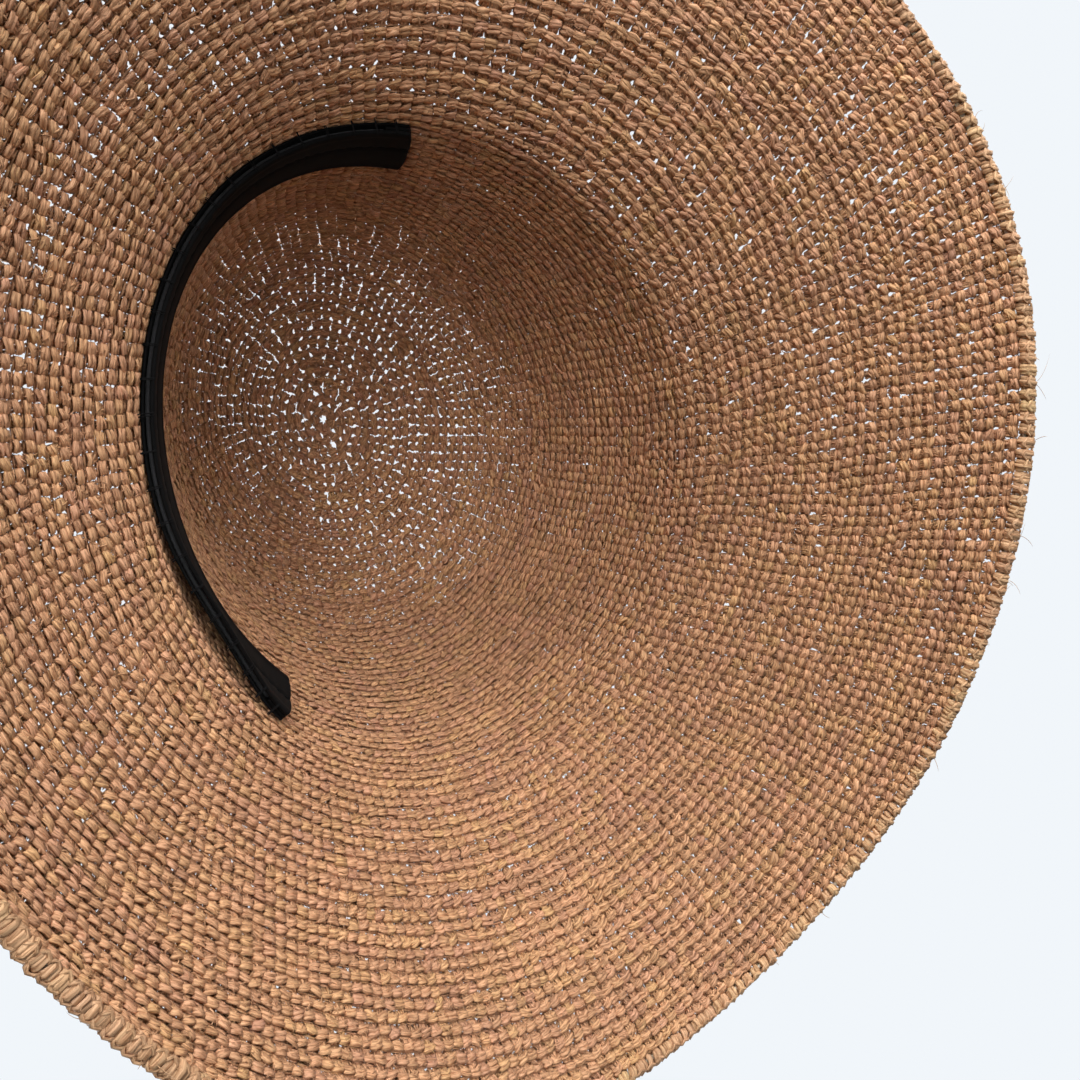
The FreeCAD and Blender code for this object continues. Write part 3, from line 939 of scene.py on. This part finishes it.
def raffia(name, shade, pink, gold, dark):
    """Dry raffia: long fibres along each strand, strands that differ, and a soft sheen. The dark
    lines between the fibres are painted shade, darkest where the fibre bumps sink, with some of the
    fibres' own darker tone.
    """
    material, nodes, links, shader = new_material(name, {
        "Roughness": 0.62, "Sheen Weight": 0.04, "Specular IOR Level": 0.32,
        "Sheen Roughness": 0.45})
    tone = nodes.new("ShaderNodeAttribute")
    tone.attribute_name = "tone"
    parts = nodes.new("ShaderNodeSeparateColor")
    links.new(tone.outputs["Color"], parts.inputs["Color"])
    fibres = add_node(nodes, "ShaderNodeTexNoise", {"Scale": 1.0, "Detail": 3.0})
    links.new(stretched_uv(nodes, links, ATLAS * 2.6, ATLAS * 10.0), fibres.inputs["Vector"])
    hues = colour_ramp(nodes, links, parts.outputs["Green"], (0.15, pink), (0.85, gold),
                       [(0.5, shade)])
    # Painted shade: where the fibre noise is low, which is where the bumps sink, the colour goes to
    # the dark colour, as shade in the grooves between fibres, with some of their own darker tone.
    fibre_tone_and_groove_shade = add_node(nodes, "ShaderNodeMapRange", {"From Min": 0.36, "From Max": 0.58})
    links.new(fibres.outputs["Fac"], fibre_tone_and_groove_shade.inputs["Value"])
    mix = nodes.new("ShaderNodeMix")
    mix.data_type = "RGBA"
    mix.inputs["A"].default_value = (*dark, 1.0)
    links.new(fibre_tone_and_groove_shade.outputs["Result"], mix.inputs["Factor"])
    links.new(hues, mix.inputs["B"])
    light = add_node(nodes, "ShaderNodeMapRange", {"To Min": 0.62, "To Max": 1.30})
    links.new(parts.outputs["Red"], light.inputs["Value"])
    colour = nodes.new("ShaderNodeVectorMath")
    colour.operation = "SCALE"
    links.new(mix.outputs["Result"], colour.inputs[0])
    links.new(light.outputs["Result"], colour.inputs["Scale"])
    links.new(colour.outputs["Vector"], shader.inputs["Base Color"])
    raise_bumps(nodes, links, shader, fibres.outputs["Fac"], 0.9, 0.3 * MM)
    return material


def tape_cloth(name, dark, light, sheen):
    """Matt black cloth: a fine twill from the mesh's own coordinates, with a little lint. Painted
    shade darkens it where its fine bumps sink.
    """
    material, nodes, links, shader = new_material(name, {
        "Roughness": 0.82, "Specular IOR Level": 0.08, "Sheen Weight": sheen,
        "Sheen Roughness": 0.5})
    twill = add_node(nodes, "ShaderNodeTexWave", {"Scale": 0.32, "Distortion": 1.2})
    twill.bands_direction = "DIAGONAL"
    links.new(stretched_uv(nodes, links, 520.0, 130.0), twill.inputs["Vector"])
    noise = noise_bump(nodes, links, shader, 2600.0, 0.25, 0.05 * MM)
    # Painted shade: the cloth is darker where the fine bumps sink, times the twill's own pattern.
    twill_and_hollow_shade = nodes.new("ShaderNodeMath")
    twill_and_hollow_shade.operation = "MULTIPLY"
    links.new(noise, twill_and_hollow_shade.inputs[0])
    links.new(twill.outputs["Fac"], twill_and_hollow_shade.inputs[1])
    shades = colour_ramp(nodes, links, twill_and_hollow_shade.outputs["Value"], (0.15, dark), (0.75, light))
    links.new(shades, shader.inputs["Base Color"])
    return material


def fine_material(name, values, scale, strength, distance, dark, light):
    """One colour with fine bumps; painted shade makes it a little darker in their hollows."""
    material, nodes, links, shader = new_material(name, values)
    noise = noise_bump(nodes, links, shader, scale, strength, distance)
    # Painted shade: the same noise that sinks the bumps darkens the colour.
    shades = colour_ramp(nodes, links, noise, (0.0, dark), (1.0, light))
    links.new(shades, shader.inputs["Base Color"])
    return material


def sewing_thread():
    """Black spun thread."""
    return fine_material("sewing_thread", {"Roughness": 0.8, "Specular IOR Level": 0.1}, 4000.0,
                         0.3, 0.04 * MM, (0.003, 0.003, 0.003), (0.010, 0.010, 0.011))


def nylon_line():
    """Clear-amber nylon monofilament, faintly streaked by painted shade in the hollows of its fine
    bumps.
    """
    return fine_material("nylon_line", {"Roughness": 0.28, "Subsurface Weight": 0.2}, 900.0,
                         0.15, 0.05 * MM, (0.55, 0.40, 0.26), (0.72, 0.58, 0.42))


def finish_node(node, material):
    """Gives a CAD node that stays visible its own material."""
    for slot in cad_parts[node].material_slots:
        slot.material = material


# ---------------------------------------------------------------- stage

def look_from(obj, place, forward, up):
    """Points an object's -Z along forward, with +Y as near up as it can be."""
    forward = Vector(forward).normalized()
    right = forward.cross(Vector(up)).normalized()
    above = right.cross(forward)
    obj.matrix_world = Matrix.Translation(Vector(place)) @ Matrix(
        (right, above, -forward)).transposed().to_4x4()


LIGHT_DISTANCE = 2.4
LIGHT_SIZE = 1.3
# Where each light stands, as seen by the camera: up, right and towards it; and its power in watts.
LIGHTS = (("top_near", (1.0, 0.0, 0.3), 31.0),
          ("top_front", (1.0, 0.0, 1.5), 33.0),
          ("front", (0.0, 0.0, 1.0), 14.0),
          ("top_right", (1.0, 0.7, 0.4), 25.0),
          ("top_left", (1.0, -0.7, 0.4), 40.0),
          ("right", (0.0, 1.0, 0.4), 13.0),
          ("behind_low", (-1.0, -0.5, -1.0), 60.0),
          ("behind_high", (0.6, 0.6, -1.0), 40.0))
VIEW_PLACE = (-9.77 * MM, -133.9 * MM, -298.56 * MM)
VIEW_FORWARD = (-0.0037, 0.5104, 0.8599)
VIEW_UP = (0.9467, -0.2751, 0.1674)


def camera():
    data = bpy.data.cameras.new("camera")
    data.lens = 36.0
    data.sensor_width = 36.0
    data.clip_start = 0.01
    obj = new_object("camera", data)
    look_from(obj, VIEW_PLACE, VIEW_FORWARD, VIEW_UP)
    bpy.context.scene.camera = obj


def soft_light(name, source, power):
    """A big square lamp that faces the hat from one side and isn't seen itself."""
    data = bpy.data.lights.new(name, "AREA")
    data.size = LIGHT_SIZE
    data.energy = power
    obj = new_object(name, data)
    obj.visible_camera = False
    forward, up = unit(np.array(VIEW_FORWARD)), unit(np.array(VIEW_UP))
    place = LIGHT_DISTANCE * unit(np.array(source) @ (up, np.cross(forward, up), -forward))
    look_from(obj, place, -place, (0.1, 0.3, 1.0))


def pale_world():
    """A pale backdrop to the camera that lights the hat only dimly."""
    world = bpy.data.worlds.new("studio")
    bpy.context.scene.world = world
    world.use_nodes = True
    nodes, links = world.node_tree.nodes, world.node_tree.links
    background = nodes["Background"]
    background.inputs["Color"].default_value = (0.88, 0.92, 0.96, 1.0)
    ray = nodes.new("ShaderNodeLightPath")
    strength = add_node(nodes, "ShaderNodeMapRange", {"To Min": 0.015, "To Max": 1.0})
    links.new(ray.outputs["Is Camera Ray"], strength.inputs["Value"])
    links.new(strength.outputs["Result"], background.inputs["Strength"])


def stage():
    """Pale world, a pale floor well below the hat that lights nothing, and soft lamps."""
    pale_world()
    material = new_material("floor", {
        "Base Color": (0.02, 0.02, 0.02, 1.0), "Emission Color": (0.72, 0.76, 0.80, 1.0),
        "Emission Strength": 1.0})[0]
    half, height = 20.0, cad_low.z - 3.0
    mesh = bpy.data.meshes.new("floor")
    mesh.from_pydata([(-half, -half, height), (half, -half, height), (half, half, height),
                      (-half, half, height)], [], [(0, 1, 2, 3)])
    mesh.materials.append(material)
    floor = new_object("floor", mesh)
    floor.visible_diffuse = floor.visible_glossy = floor.visible_shadow = False
    for light in LIGHTS:
        soft_light(*light)


# ---------------------------------------------------------------- build

def main():
    # Each raffia's last colour is painted shade for the grooves between its fibres, with some of
    # their own darker tone.
    body = raffia("raffia", (0.74, 0.412, 0.224), (0.72, 0.377, 0.24), (0.75, 0.452, 0.206),
                  (0.36, 0.17, 0.08))
    edge = raffia("raffia_edge", (0.70, 0.43, 0.24), (0.66, 0.38, 0.23), (0.73, 0.50, 0.25),
                  (0.38, 0.19, 0.09))
    rounds = lay_out_rounds(np.random.default_rng(SEED))
    crochet_pieces(rounds, body)
    edge_round(rounds[ROUNDS], edge)
    start_ring(body)
    sweatband(tape_cloth("band_tape", (0.002, 0.002, 0.002), (0.008, 0.008, 0.009), 0.01),
              tape_cloth("band_pad", (0.03, 0.03, 0.032), (0.07, 0.07, 0.075), 0.1), sewing_thread())
    finish_node("brim_edge_line", nylon_line())
    camera()
    stage()
    bpy.context.scene.view_settings.view_transform = "Standard"


main()
